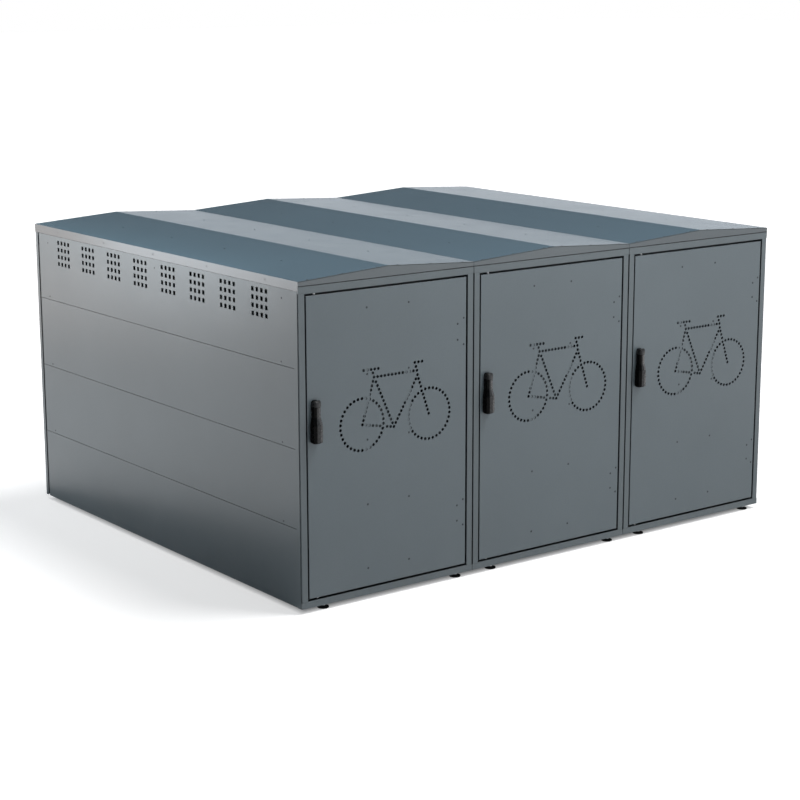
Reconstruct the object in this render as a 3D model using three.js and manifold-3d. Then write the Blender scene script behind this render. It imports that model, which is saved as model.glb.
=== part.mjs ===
// A row of three bicycle lockers in painted folded sheet steel.
// Lengths are in millimetres, +X to the right, +Y to the back, +Z up.
// Each locker is drawn from its own front left bottom corner: x across, y in depth, z up.
import * as THREE from 'three';
import { mergeVertices } from 'three/addons/utils/BufferGeometryUtils.js';
import Module from 'manifold-3d';

const wasm = await Module();
wasm.setup();

// Row of lockers
const lockerCount = 3;
const lockerWidth = 800;
const lockerDepth = 2034;
const wallHeight = 1195;
const lockerGap = 1.2;

// Sheets and clearances
const sheet = 1.5;
const frameSheet = 2;
const seat = 0.3;
const runningGap = 0.35;
const cutOverrun = 5;
const lap = 0.1;

// Front frame
const postFace = 28.5;
const railFace = 30;
const sillFace = 26;
const frameDepth = 28;
const rearFlange = 20;
const postRebate = 2.9;
const railRebate = 0.6;
const rebateDepth = 6;
const roofShadowGap = 3.2;
const cornerSeam = 0.8;
const cornerSeamDepth = 0.6;
const stopLipWidth = 13;
const stopLipDepth = 24;
const stopLipHingeGap = 30;
const footFlangeDepth = 54;
const footFlangeInset = 40;

// Door leaf
const doorHandleGap = 6.5;
const doorHingeGap = 8;
const doorEndGap = 8.2;
const doorDepth = 22;
const stiffenerLeft = 301;
const stiffenerRight = 492;
const stiffenerFlange = 26;
const stiffenerDepth = 18;
const stiffenerEndGap = 25;

// Pictogram of round holes
const rearHubX = 277;
const hubHeight = 656;
const wheelBase = 310;
const wheelRadius = 97.5;
const wheelDots = 34;
const wheelStartShare = 0.5;
const dotRadius = 5.9;
const dotPitch = 16.45;
const dotSides = 4;
const dotLeastShare = 0.77;

// Hinges
const pivotFromEdge = 13.5;
const pivotDepth = 11.5;
const hingeFromTop = 205.3;
const hingeFromBottom = 209.3;
const pinRadius = 3.5;
const knuckleRadius = 6;
const knuckleHalf = 12;
const neckHalf = 3.5;
const armSheet = 3;
const armBack = 36;
const armFootFront = 12;
const earSheet = 4;
const earHalf = 7;
const earGap = 0.4;
const leafSheet = 2.5;
const leafHalfHeight = 60;
const leafWaistHalf = 40;
const leafReach = 37;
const leafEdge = 7;
const hingeNotchGap = 1.5;
const pinSides = 8;

// Swing handle
const handleX = 66;
const spindleHeight = 765;
const handleTop = 12;
const handleDrop = 145;
const upperHalf = 14;
const lowerHalf = 19;
const upperFront = 27.2;
const lowerFront = 33;
const flareTop = 52;
const flareBottom = 79;
const upperChamfer = 5;
const lowerChamfer = 8;
const handleFoot = 4;
const handleBaseSheet = 2.5;
const handleBaseInset = 1;
const tongueHalf = 4;
const tongueRadius = 6;
const tongueGap = 0.5;
const crossPinRadius = 2.5;
const crossPinHalf = 12;
const crossPinSides = 8;
const handleArcSteps = 8;

// Lock cam and rods
const spindleRadius = 6;
const collarRadius = 9;
const spindleSides = 8;
const camGap = 3.5;
const camSheet = 3;
const camRadius = 19;
const camPinCircle = 14;
const camPinRadius = 3;
const camPinLength = 4.4;
const camPinSides = 8;
const camThrow = Math.PI / 2;
const rodPlate = 3;
const rodPlateGap = 0.4;
const rodPlateMargin = 3.5;
const rodSlotGap = 0.8;
const rodOffset = 12;
const rodRadius = 4;
const rodTipGap = 1.6;
const rodNeckGap = 1.3;
const rodArm = 11;
const rodSides = 8;

// Side cassettes and vents
const cassetteDepth = 20;
const cassetteSeam = 1.8;
const cassetteShares = [0.251, 0.502, 0.751];
const wallBackGap = 31;
const wallTopGap = 5;
const ventSide = 16.5;
const ventPitch = 30.3;
const ventCount = 4;
const ventGroups = 8;
const ventGroupPitch = 218;
const ventFromBack = 178.4;
const ventFromTop = 39.6;
const ventLeastEdge = 8;

// Back panel
const backLipDepth = 20;
const backInnerGap = 9;
const backFlange = 16;

// Roof
const gableHeight = 16;
const ridgeRise = 23;
const fasciaDrop = 18.5;
const roofFlange = 20;

// Levelling feet
const footHeight = 20;
const footRadius = 22;
const footRim = 5;
const footHub = 9;
const footHubBase = 4;
const footStud = 5;
const footStudRise = 14;
const footSides = 8;
const footFromLeft = 115;
const footFromRight = 62;
const footFromFront = 30;

// Places worked out from the sizes above
const sideX = lockerGap / 2;
const wallX = sideX + sheet + seat;
const frameTop = wallHeight - seat;
const doorwayLeft = postFace;
const doorwayRight = lockerWidth - postFace;
const doorwayBottom = sillFace;
const doorwayTop = wallHeight - railFace;
const doorLeft = doorwayLeft + doorHandleGap;
const doorRight = doorwayRight - doorHingeGap;
const doorBottom = doorwayBottom + doorEndGap;
const doorTop = doorwayTop - doorEndGap;
const pivotX = doorRight - pivotFromEdge;
const hingeHeights = { upper: doorTop - hingeFromTop, lower: doorBottom + hingeFromBottom };
const wallFront = frameDepth + seat;
const wallBack = lockerDepth - wallBackGap;
const wallTop = wallHeight - wallTopGap;
const rodX = handleX + rodOffset;
const camFront = sheet + camGap;
const camBack = camFront + camSheet;
const rodPlateFront = camBack + rodPlateGap;
const rodY = rodPlateFront + rodRadius + rodPlateGap / 2;
const camPinStart = camPinCircle * Math.sin(camThrow / 2);
const handleBack = seat + handleBaseSheet + seat;
const tiltY = -handleBack - handleTop;
const pinBore = (pinRadius + runningGap) / Math.cos(Math.PI / pinSides);
const spindleBore = (spindleRadius + runningGap) / Math.cos(Math.PI / spindleSides);
const rodBore = (rodRadius + runningGap) / Math.cos(Math.PI / rodSides);
const footBore = (footStud + runningGap) / Math.cos(Math.PI / footSides);

// Paints and metals
function material(color, roughness, metalness) {
  return new THREE.MeshStandardMaterial({ color, roughness, metalness, flatShading: true });
}
const paint = material(0x6d7a83, 0.45, 0.25);
const roofPaint = material(0x6f8390, 0.38, 0.3);
const galvanised = material(0xa3a9ad, 0.4, 0.85);
const blackPlastic = material(0x1b1b1d, 0.45, 0);
const blackRubber = material(0x141414, 0.8, 0);

// A closed geometry as a solid that can be joined and cut
function solid(geometry) {
  const bare = geometry.index ? geometry.toNonIndexed() : geometry.clone();
  bare.deleteAttribute('normal');
  bare.deleteAttribute('uv');
  const merged = mergeVertices(bare);
  const data = {
    numProp: 3,
    vertProperties: new Float32Array(merged.attributes.position.array),
    triVerts: new Uint32Array(merged.index.array),
  };
  return new wasm.Manifold(new wasm.Mesh(data));
}

// A box between two corners, each range written as [from, to]
function box(x, y, z) {
  const size = [x, y, z].map((range) => range[1] - range[0]);
  const geometry = new THREE.BoxGeometry(...size);
  geometry.translate(x[0] + size[0] / 2, y[0] + size[1] / 2, z[0] + size[2] / 2);
  return solid(geometry);
}

// An outline drawn across one axis and stretched along it from one place to another
function prism(outline, axis, from, to, holes = []) {
  const shape = new THREE.Shape(outline.map((point) => new THREE.Vector2(...point)));
  const geometry = new THREE.ExtrudeGeometry(shape, { depth: to - from, bevelEnabled: false });
  const ex = new THREE.Vector3(1, 0, 0);
  const ey = new THREE.Vector3(0, 1, 0);
  const ez = new THREE.Vector3(0, 0, 1);
  if (axis === 'x') geometry.applyMatrix4(new THREE.Matrix4().makeBasis(ey, ez, ex));
  if (axis === 'y') geometry.applyMatrix4(new THREE.Matrix4().makeBasis(ex, ez, ey.negate()));
  if (axis === 'x') geometry.translate(from, 0, 0);
  if (axis === 'y') geometry.translate(0, to, 0);
  if (axis === 'z') geometry.translate(0, 0, from);
  if (holes.length === 0) return solid(geometry);
  const tools = holes.map((hole) => prism(hole, axis, from - cutOverrun, to + cutOverrun));
  return solid(geometry).subtract(joined(...tools));
}

// The corners of a regular polygon round a centre, flat side down
function ring(centre, radius, sides) {
  const points = [];
  for (let i = 0; i < sides; i += 1) {
    const angle = ((i + 0.5) / sides) * 2 * Math.PI;
    points.push([centre[0] + radius * Math.cos(angle), centre[1] + radius * Math.sin(angle)]);
  }
  return points;
}

function rectangle(a, b) {
  return [[a[0], b[0]], [a[1], b[0]], [a[1], b[1]], [a[0], b[1]]];
}

function joined(first, ...others) {
  return others.reduce((whole, piece) => whole.add(piece), first);
}

function cut(first, ...tools) {
  return tools.reduce((whole, tool) => whole.subtract(tool), first);
}

// A solid as the geometry of a mesh
function geometryOf(body) {
  const data = body.getMesh();
  const geometry = new THREE.BufferGeometry();
  geometry.setAttribute('position', new THREE.BufferAttribute(data.vertProperties, 3));
  geometry.setIndex(new THREE.BufferAttribute(data.triVerts, 1));
  geometry.computeVertexNormals();
  return geometry;
}

function mesh(name, geometry, finish, position = [0, 0, 0], turn = 0) {
  const part = new THREE.Mesh(geometry, finish);
  part.name = name;
  part.position.set(...position);
  part.rotation.z = turn;
  return part;
}

// A sheet panel with its four edges folded back, facing the front
function tray(width, height, foldDepth, holes = []) {
  const outline = rectangle([0, width], [0, height]);
  const inner = rectangle([sheet, width - sheet], [sheet, height - sheet]);
  const face = prism(outline, 'y', 0, sheet, holes);
  const edge = prism(outline, 'y', 0, foldDepth, [inner]);
  return face.add(edge);
}

// Front frame: a folded ring with a corner rebate, a doorway, stop lips and two hinge arms
function frontFrame(outerLeft, outerRight) {
  const right = lockerWidth - sideX;
  let frame = box([sideX, right], [0, frameDepth], [0, frameTop]);
  const doorway = box([doorwayLeft, doorwayRight], [-cutOverrun, frameDepth + cutOverrun],
    [doorwayBottom, doorwayTop]);
  const jog = sideX + postRebate + frameSheet;
  const innerWall = rectangle([doorwayLeft - frameSheet, doorwayRight + frameSheet],
    [doorwayBottom - frameSheet, doorwayTop + frameSheet]);
  const frontPocket = prism(rectangle([jog, lockerWidth - jog], [frameSheet, frameTop - rebateDepth]),
    'y', frameSheet, rebateDepth + frameSheet, [innerWall]);
  const pocketX = [sideX + frameSheet, right - frameSheet];
  const rearPocket = prism(rectangle(pocketX, [frameSheet, frameTop - frameSheet]),
    'y', rebateDepth + frameSheet, frameDepth - frameSheet, [innerWall]);
  const slotX = [sideX + rearFlange, right - rearFlange];
  const rearSlot = prism(rectangle(slotX, [frameSheet, frameTop - rearFlange]),
    'y', frameDepth - frameSheet - seat, frameDepth + cutOverrun, [innerWall]);
  frame = cut(frame, doorway, frontPocket, rearPocket, rearSlot);
  const joggleZ = [wallHeight - fasciaDrop - seat - frameSheet, frameTop];
  if (outerLeft) frame = frame.add(box([sideX, wallX + frameSheet], [0, frameDepth], joggleZ));
  if (outerRight) {
    frame = frame.add(box([lockerWidth - wallX - frameSheet, right], [0, frameDepth], joggleZ));
  }

  const footFlange = box([footFlangeInset, lockerWidth - footFlangeInset],
    [frameDepth - frameSheet, footFlangeDepth], [0, frameSheet]);
  const lipY = [stopLipDepth, stopLipDepth + frameSheet];
  const lipEnd = pivotX - stopLipHingeGap;
  const lipLeft = box([doorwayLeft - frameSheet, doorwayLeft + stopLipWidth], lipY,
    [doorwayBottom - frameSheet, doorwayTop + frameSheet]);
  const lipTop = box([doorwayLeft, lipEnd], lipY, [doorwayTop - stopLipWidth, doorwayTop + frameSheet]);
  const lipBottom = box([doorwayLeft, lipEnd], lipY,
    [doorwayBottom - frameSheet, doorwayBottom + stopLipWidth]);
  frame = joined(frame, footFlange, lipLeft, lipTop, lipBottom);

  for (const height of Object.values(hingeHeights)) frame = frame.add(hingeArm(height));
  const seams = [doorwayBottom - frameSheet, doorwayTop + frameSheet];
  const front = [-cutOverrun, rebateDepth];
  for (const [outer, inner, toRail, face] of [
    [sideX - cutOverrun, sideX + postRebate, sideX + railRebate, doorwayLeft],
    [right + cutOverrun, right - postRebate, right - railRebate, doorwayRight],
  ]) {
    const span = (a, b) => [Math.min(a, b), Math.max(a, b)];
    frame = cut(frame, box(span(outer, inner), front, seams),
      box(span(outer, toRail), front, [-cutOverrun, frameTop + cutOverrun]));
    for (const seam of seams) {
      frame = cut(frame, box(span(outer, face), [-cutOverrun, cornerSeamDepth],
        [seam - cornerSeam / 2, seam + cornerSeam / 2]));
    }
  }
  const shadow = box([sideX - cutOverrun, right + cutOverrun], front,
    [frameTop + seat - roofShadowGap, frameTop + cutOverrun]);
  frame = cut(frame, shadow);
  if (outerLeft) frame = frame.intersect(fasciaRecess([wallX, lockerWidth + cutOverrun]));
  if (outerRight) frame = frame.intersect(fasciaRecess([-cutOverrun, lockerWidth - wallX]));
  const keeper = prism(ring([rodX, rodY], rodBore, rodSides), 'z',
    doorwayTop - cutOverrun, doorwayTop + frameSheet + cutOverrun);
  const keeperBelow = prism(ring([rodX, rodY], rodBore, rodSides), 'z',
    doorwayBottom - frameSheet - cutOverrun, doorwayBottom + cutOverrun);
  frame = cut(frame, keeper, keeperBelow);
  for (const x of [footFromLeft, lockerWidth - footFromRight]) {
    frame = cut(frame, footHole(x, footFromFront));
  }
  return frame;
}

// The room an outer frame may fill: all of it below the fascia, and between walls beside the fascia
function fasciaRecess(wallRange) {
  const y = [-cutOverrun, footFlangeDepth + cutOverrun];
  const edge = wallHeight - fasciaDrop - seat;
  return joined(
    box([-cutOverrun, lockerWidth + cutOverrun], y, [-cutOverrun, edge]),
    box(wallRange, y, [edge - lap, wallHeight + cutOverrun]),
  );
}

function footHole(x, y) {
  return prism(ring([x, y], footBore, footSides), 'z', -cutOverrun, frameSheet + cutOverrun);
}

// Hinge arm: welded inside the post, bent round the door's edge, with a fixed pin
function hingeArm(height) {
  const weld = doorwayRight + frameSheet;
  const foot = weld + armSheet;
  const back = armBack - armSheet;
  const outline = [
    [pivotX - neckHalf, pivotDepth], [pivotX + neckHalf, pivotDepth], [pivotX + neckHalf, back],
    [weld - seat, back], [weld - seat, armFootFront], [foot, armFootFront],
    [foot, armBack], [pivotX - neckHalf, armBack],
  ];
  const arm = prism(outline, 'z', height - knuckleHalf, height + knuckleHalf);
  const knuckle = prism(ring([pivotX, pivotDepth], knuckleRadius, pinSides), 'z',
    height - knuckleHalf, height + knuckleHalf);
  const pinHalf = knuckleHalf + earGap + earSheet + seat;
  const pin = prism(ring([pivotX, pivotDepth], pinRadius, pinSides), 'z',
    height - pinHalf, height + pinHalf);
  return joined(arm, knuckle, pin);
}

// Hinge leaf: a plate behind the door skin with two ears on the pin, drawn round the pivot
function hingeLeaf() {
  const face = sheet + seat - pivotDepth;
  const outline = [
    [leafEdge, -leafHalfHeight], [leafEdge, leafHalfHeight], [-leafEdge, leafHalfHeight],
    [-leafReach, leafWaistHalf], [-leafReach, -leafWaistHalf], [-leafEdge, -leafHalfHeight],
  ];
  let leaf = prism(outline, 'y', face, face + leafSheet);
  for (const side of [-1, 1]) {
    const near = side * (knuckleHalf + earGap);
    const z = [near, near + side * earSheet].sort((a, b) => a - b);
    leaf = leaf.add(box([-earHalf, earHalf], [face, knuckleRadius], z));
  }
  const reach = knuckleHalf + earGap + earSheet + cutOverrun;
  return cut(leaf, prism(ring([0, 0], pinBore, pinSides), 'z', -reach, reach));
}

// The holes that draw a bicycle: two wheels, a diamond frame, a fork, a saddle and a handlebar
function pictogramDots() {
  const place = (share) => [rearHubX + share[0] * wheelBase, hubHeight + share[1] * wheelBase];
  const rearHubShare = [0, 0];
  const axleShare = [0.0033, -0.0031];
  const frontHubShare = [1, 0];
  const saddleShares = [[0.0287, 0.65], [0.2412, 0.6475]];
  const seatShare = [0.177, 0.552];
  const seatPostShare = [0.161, 0.603];
  const seatTubeShare = [0.2063, 0.4915];
  const headShare = [0.8166, 0.5538];
  const barShares = [[0.7838, 0.6543], [0.8938, 0.656]];
  const stemShare = [0.8, 0.603];
  const forkShares = [[0.8237, 0.4988], [0.9948, 0]];
  const downTubeShare = [0.7985, 0.45];
  const bracketShare = [0.4689, -0.0897];
  const chainStayShare = [0.4717, -0.0922];
  const dots = [];
  const add = (dot) => {
    const least = dotPitch * dotLeastShare;
    const free = dots.every((other) => Math.hypot(other[0] - dot[0], other[1] - dot[1]) > least);
    if (free) dots.push(dot);
  };
  const line = (fromShare, toShare) => {
    const a = place(fromShare);
    const b = place(toShare);
    const steps = Math.max(1, Math.round(Math.hypot(b[0] - a[0], b[1] - a[1]) / dotPitch));
    for (let i = 0; i <= steps; i += 1) {
      add([a[0] + ((b[0] - a[0]) * i) / steps, a[1] + ((b[1] - a[1]) * i) / steps]);
    }
  };
  for (const hub of [place(rearHubShare), place(frontHubShare)]) {
    for (let i = 0; i < wheelDots; i += 1) {
      const angle = ((i + wheelStartShare) / wheelDots) * 2 * Math.PI;
      add([hub[0] + wheelRadius * Math.cos(angle), hub[1] + wheelRadius * Math.sin(angle)]);
    }
  }
  line(...saddleShares);
  line(seatPostShare, seatPostShare);
  line(seatShare, headShare);
  line(...barShares);
  line(stemShare, stemShare);
  line(seatTubeShare, bracketShare);
  line(axleShare, seatShare);
  line(axleShare, chainStayShare);
  line(bracketShare, downTubeShare);
  line(...forkShares);
  return dots;
}

// Door skin: a folded tray with the pictogram, rod holes, a spindle hole and hinge notches
function doorSkin() {
  const width = doorRight - doorLeft;
  const height = doorTop - doorBottom;
  const evenArea = Math.sqrt((2 * Math.PI) / (dotSides * Math.sin((2 * Math.PI) / dotSides)));
  const holes = pictogramDots().map((dot) =>
    ring([dot[0] - doorLeft, dot[1] - doorBottom], dotRadius * evenArea, dotSides));
  holes.push(ring([handleX - doorLeft, spindleHeight - doorBottom], spindleBore, spindleSides));
  let skin = tray(width, height, doorDepth, holes);
  skin = cut(skin, prism(ring([rodX - doorLeft, rodY], rodBore, rodSides), 'z',
    -cutOverrun, height + cutOverrun));
  const notchHalf = knuckleHalf + hingeNotchGap;
  for (const at of Object.values(hingeHeights)) {
    skin = cut(skin, box([width - sheet - cutOverrun, width + cutOverrun],
      [sheet, doorDepth + cutOverrun], [at - doorBottom - notchHalf, at - doorBottom + notchHalf]));
  }
  return skin;
}

// Door stiffener: one upright top-hat section riveted behind the skin
function doorStiffener() {
  const half = stiffenerFlange / 2;
  const back = sheet + seat;
  const hat = back + stiffenerDepth;
  const left = stiffenerLeft + half;
  const right = stiffenerRight - half;
  const outline = [
    [stiffenerLeft - half, back], [left + sheet, back], [left + sheet, hat - sheet],
    [right - sheet, hat - sheet], [right - sheet, back], [stiffenerRight + half, back],
    [stiffenerRight + half, back + sheet], [right, back + sheet], [right, hat],
    [left, hat], [left, back + sheet], [stiffenerLeft - half, back + sheet],
  ];
  return prism(outline, 'z', doorBottom + stiffenerEndGap, doorTop - stiffenerEndGap);
}

// Front view of the handle round its spindle: a narrow shank that flares to a wide grip
function handleOutline(inset) {
  const upper = upperHalf - inset;
  const lower = lowerHalf - inset;
  const end = handleDrop - inset;
  const top = handleTop - inset;
  return [
    [-lower, handleFoot - end], [handleFoot - lower, -end], [lower - handleFoot, -end],
    [lower, handleFoot - end], [lower, -flareBottom], [upper, -flareTop],
    [upper, top - handleFoot], [upper - handleFoot, top], [handleFoot - upper, top],
    [-upper, top - handleFoot], [-upper, -flareTop], [-lower, -flareBottom],
  ];
}

// Handle base: the flat escutcheon between the lever and the door skin
function handleBase() {
  const hole = ring([0, 0], spindleBore, spindleSides);
  return prism(handleOutline(handleBaseInset), 'y', -seat - handleBaseSheet, -seat, [hole]);
}

// Handle lever: half round at the top about its cross pin, forked over the spindle's tongue
function handleLever() {
  const back = -handleBack;
  const side = [];
  for (let i = 0; i <= handleArcSteps; i += 1) {
    const angle = (i / handleArcSteps) * Math.PI;
    side.push([tiltY + handleTop * Math.cos(angle), handleTop * Math.sin(angle)]);
  }
  side.push([-upperFront, -flareTop], [-lowerFront, -flareBottom],
    [-lowerFront, handleFoot - handleDrop], [handleFoot - lowerFront, -handleDrop], [back, -handleDrop]);
  const front = prism(handleOutline(0), 'y', -lowerFront - cutOverrun, cutOverrun);
  const profile = prism(side, 'x', -lowerHalf - cutOverrun, lowerHalf + cutOverrun);
  const section = (half, face, chamfer, low, high) => prism([
    [-half, back], [-half, chamfer - face], [chamfer - half, -face],
    [half - chamfer, -face], [half, chamfer - face], [half, back],
  ], 'z', low, high);
  const shank = section(upperHalf, upperFront, upperChamfer, -flareBottom, handleTop);
  const grip = section(lowerHalf, lowerFront, lowerChamfer, -handleDrop, -flareTop);
  const body = joined(shank, grip).intersect(front).intersect(profile);
  const slotHalf = tongueHalf + tongueGap;
  const slot = box([-slotHalf, slotHalf], [tiltY - tongueRadius - tongueGap, cutOverrun],
    [-tongueRadius - tongueGap, handleTop + cutOverrun]);
  const bore = (crossPinRadius + runningGap) / Math.cos(Math.PI / crossPinSides);
  const pinHole = prism(ring([tiltY, 0], bore, crossPinSides), 'x',
    -upperHalf - cutOverrun, upperHalf + cutOverrun);
  return cut(body, slot, pinHole);
}

// Lock spindle: tongue and cross pin outside, shaft through the door, cam with two drive pins inside
function lockSpindle() {
  const tongue = joined(
    box([-tongueHalf, tongueHalf], [tiltY, 2 * lap - handleBack], [-tongueRadius, tongueRadius]),
    prism(ring([tiltY, 0], tongueRadius, spindleSides), 'x', -tongueHalf, tongueHalf),
  );
  const crossPin = prism(ring([tiltY, 0], crossPinRadius, crossPinSides), 'x',
    -crossPinHalf, crossPinHalf);
  const shaft = prism(ring([0, 0], spindleRadius, spindleSides), 'y', lap - handleBack, camBack);
  const collar = prism(ring([0, 0], collarRadius, spindleSides), 'y', sheet + seat, camBack);
  const cam = prism(ring([0, 0], camRadius, spindleSides), 'y', camFront, camBack);
  let spindle = joined(tongue, crossPin, shaft, collar, cam);
  for (const side of [-1, 1]) {
    const centre = [side * camPinCircle * Math.cos(camThrow / 2), -side * camPinStart];
    spindle = spindle.add(prism(ring(centre, camPinRadius, camPinSides), 'y',
      camBack - seat, camBack + camPinLength));
  }
  return spindle;
}

// Rod heads carry a level slot that the cam's pin slides in, places counted from the spindle
function rodSlot(side) {
  const edge = camPinRadius + rodSlotGap;
  const near = camPinCircle * Math.cos(camThrow / 2) - edge;
  const far = camPinCircle + edge;
  const x = side > 0 ? [near, far] : [-far, -near];
  const z = [-side * camPinStart - edge, -side * camPinStart + edge];
  return { x, z };
}

function topRod() {
  const slot = rodSlot(1);
  const x = [slot.x[0] - rodPlateMargin, slot.x[1] + rodPlateMargin];
  const z = [slot.z[0] - rodPlateMargin, slot.z[1] + rodPlateMargin];
  const head = prism(rectangle(x, z), 'y', rodPlateFront, rodPlateFront + rodPlate,
    [rectangle(slot.x, slot.z)]);
  const tip = doorwayTop - rodTipGap - spindleHeight;
  const rod = prism(ring([rodOffset, rodY], rodRadius, rodSides), 'z', slot.z[1] + seat, tip);
  return joined(head, rod);
}

function bottomRod() {
  const slot = rodSlot(-1);
  const left = slot.x[0] - rodPlateMargin;
  const right = slot.x[1] + rodPlateMargin;
  const top = slot.z[1] + rodPlateMargin;
  const elbow = rodSlot(1).z[0] - rodPlateMargin - rodNeckGap;
  const outline = [
    [left, elbow - rodArm], [rodOffset + rodRadius + seat, elbow - rodArm],
    [rodOffset + rodRadius + seat, elbow], [right, elbow], [right, top], [left, top],
  ];
  const head = prism(outline, 'y', rodPlateFront, rodPlateFront + rodPlate,
    [rectangle(slot.x, slot.z)]);
  const tip = doorwayBottom + rodTipGap - spindleHeight;
  const rod = prism(ring([rodOffset, rodY], rodRadius, rodSides), 'z', tip, elbow - seat);
  return joined(head, rod);
}

// Side cassette: one of four stacked trays, the top one with groups of square vents
function sideCassette(height, vented, mirrored) {
  const length = wallBack - wallFront;
  const holes = [];
  for (let group = 0; vented && group < ventGroups; group += 1) {
    for (let i = 0; i < ventCount ** 2; i += 1) {
      const column = ventFromBack + group * ventGroupPitch + (i % ventCount) * ventPitch;
      const z = height - ventFromTop - Math.floor(i / ventCount) * ventPitch;
      const u = mirrored ? length - column : column;
      const reach = ventSide / 2 + ventLeastEdge;
      const fits = u > reach && u < length - reach && z > reach && z < height - reach;
      if (fits) {
        holes.push(rectangle([u - ventSide / 2, u + ventSide / 2], [z - ventSide / 2, z + ventSide / 2]));
      }
    }
  }
  return tray(length, height, cassetteDepth, holes);
}

// Partition: one folded sheet between two lockers, drawn round the line between them
function partition() {
  const half = sheet / 2;
  const outline = [
    [-cassetteDepth, wallFront], [half, wallFront], [half, wallBack], [-cassetteDepth, wallBack],
    [-cassetteDepth, wallBack - sheet], [-half, wallBack - sheet],
    [-half, wallFront + sheet], [-cassetteDepth, wallFront + sheet],
  ];
  return prism(outline, 'z', 0, frameTop);
}

// Back panel: a sheet with a lip folded forward at each side, an inner flange that bears on the
// walls, and a floor for the rear feet
function backPanel() {
  const lip = lockerDepth - backLipDepth;
  const rear = lockerDepth - sheet;
  const land = wallBack + seat;
  const inner = wallX + backInnerGap;
  const right = lockerWidth - wallX;
  const innerRight = lockerWidth - inner;
  const flange = inner + backFlange;
  const outline = [
    [wallX, lockerDepth], [wallX, lip], [wallX + sheet, lip], [wallX + sheet, rear],
    [inner, rear], [inner, land], [flange, land], [flange, land + sheet],
    [inner + sheet, land + sheet], [inner + sheet, rear],
    [innerRight - sheet, rear], [innerRight - sheet, land + sheet],
    [lockerWidth - flange, land + sheet], [lockerWidth - flange, land], [innerRight, land],
    [innerRight, rear], [right - sheet, rear], [right - sheet, lip], [right, lip],
    [right, lockerDepth],
  ];
  const panel = prism(outline, 'z', 0, frameTop);
  const edge = [inner + sheet / 2, innerRight - sheet / 2];
  const depthRange = [land, lockerDepth - sheet / 2];
  const top = box(edge, depthRange, [frameTop - sheet, frameTop]);
  const bottom = box(edge, depthRange, [0, frameSheet]);
  const footFlange = box([footFlangeInset, lockerWidth - footFlangeInset],
    [lockerDepth - footFlangeDepth, lockerDepth - sheet / 2], [0, frameSheet]);
  let back = joined(panel, top, bottom, footFlange);
  for (const x of [footFromLeft, lockerWidth - footFromRight]) {
    back = cut(back, footHole(x, lockerDepth - footFromFront));
  }
  return back;
}

// Roof: a gabled sheet with closed gables, inward flanges, and a deeper fascia on an outer side
function roof(outerLeft, outerRight) {
  const right = lockerWidth - sideX;
  const inner = [sideX + sheet, right - sheet];
  const middle = lockerWidth / 2;
  const eave = wallHeight + gableHeight;
  const ridge = eave + ridgeRise;
  const low = wallHeight - fasciaDrop;
  const flangeTop = wallHeight + sheet;
  const block = prism([[sideX, low], [right, low], [right, eave], [middle, ridge], [sideX, eave]],
    'y', 0, lockerDepth);
  const hollow = prism([
    [inner[0], flangeTop], [inner[1], flangeTop], [inner[1], eave - sheet],
    [middle, ridge - sheet], [inner[0], eave - sheet],
  ], 'y', sheet, lockerDepth - sheet);
  const mouth = box(inner, [roofFlange, lockerDepth - roofFlange], [wallHeight - lap, flangeTop + lap]);
  const under = box([outerLeft ? inner[0] : sideX - cutOverrun, outerRight ? inner[1] : right + cutOverrun],
    [-cutOverrun, lockerDepth + cutOverrun], [low - cutOverrun, wallHeight]);
  return cut(block, hollow, mouth, under);
}

// Levelling foot: a turned disc with a hub that bears on the frame and a threaded stud above it
function levellingFoot() {
  const top = footHeight - seat;
  const profile = [
    [0, 0], [footRadius, 0], [footRadius, footRim], [footHub, footRim + footHubBase], [footHub, top],
    [footStud, top], [footStud, footHeight + footStudRise], [0, footHeight + footStudRise],
  ];
  const geometry = new THREE.LatheGeometry(profile.map((p) => new THREE.Vector2(...p)), footSides);
  geometry.rotateX(Math.PI / 2);
  return solid(geometry);
}

// Shapes that repeat are made once
const shapes = {
  back: geometryOf(backPanel()),
  partition: geometryOf(partition()),
  skin: geometryOf(doorSkin()),
  stiffener: geometryOf(doorStiffener()),
  leaf: geometryOf(hingeLeaf()),
  handleBase: geometryOf(handleBase()),
  lever: geometryOf(handleLever()),
  spindle: geometryOf(lockSpindle()),
  topRod: geometryOf(topRod()),
  bottomRod: geometryOf(bottomRod()),
  foot: geometryOf(levellingFoot()),
};

function doorGroup(number) {
  const door = new THREE.Group();
  door.add(mesh(`door_skin_${number}`, shapes.skin, paint, [doorLeft, 0, doorBottom]));
  door.add(mesh(`door_stiffener_${number}`, shapes.stiffener, paint));
  for (const [level, height] of Object.entries(hingeHeights)) {
    door.add(mesh(`hinge_leaf_${level}_${number}`, shapes.leaf, galvanised, [pivotX, pivotDepth, height]));
  }
  const lock = new THREE.Group();
  lock.position.set(handleX, 0, spindleHeight);
  lock.add(mesh(`handle_base_${number}`, shapes.handleBase, blackPlastic));
  lock.add(mesh(`handle_lever_${number}`, shapes.lever, blackPlastic));
  lock.add(mesh(`lock_spindle_${number}`, shapes.spindle, galvanised));
  lock.add(mesh(`lock_rod_top_${number}`, shapes.topRod, galvanised));
  lock.add(mesh(`lock_rod_bottom_${number}`, shapes.bottomRod, galvanised));
  door.add(lock);
  return door;
}

function feetGroup(number) {
  const feet = new THREE.Group();
  const places = {
    front_left: [footFromLeft, footFromFront],
    front_right: [lockerWidth - footFromRight, footFromFront],
    rear_left: [footFromLeft, lockerDepth - footFromFront],
    rear_right: [lockerWidth - footFromRight, lockerDepth - footFromFront],
  };
  for (const [place, at] of Object.entries(places)) {
    feet.add(mesh(`foot_${place}_${number}`, shapes.foot, blackRubber, [...at, -footHeight]));
  }
  return feet;
}

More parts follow.
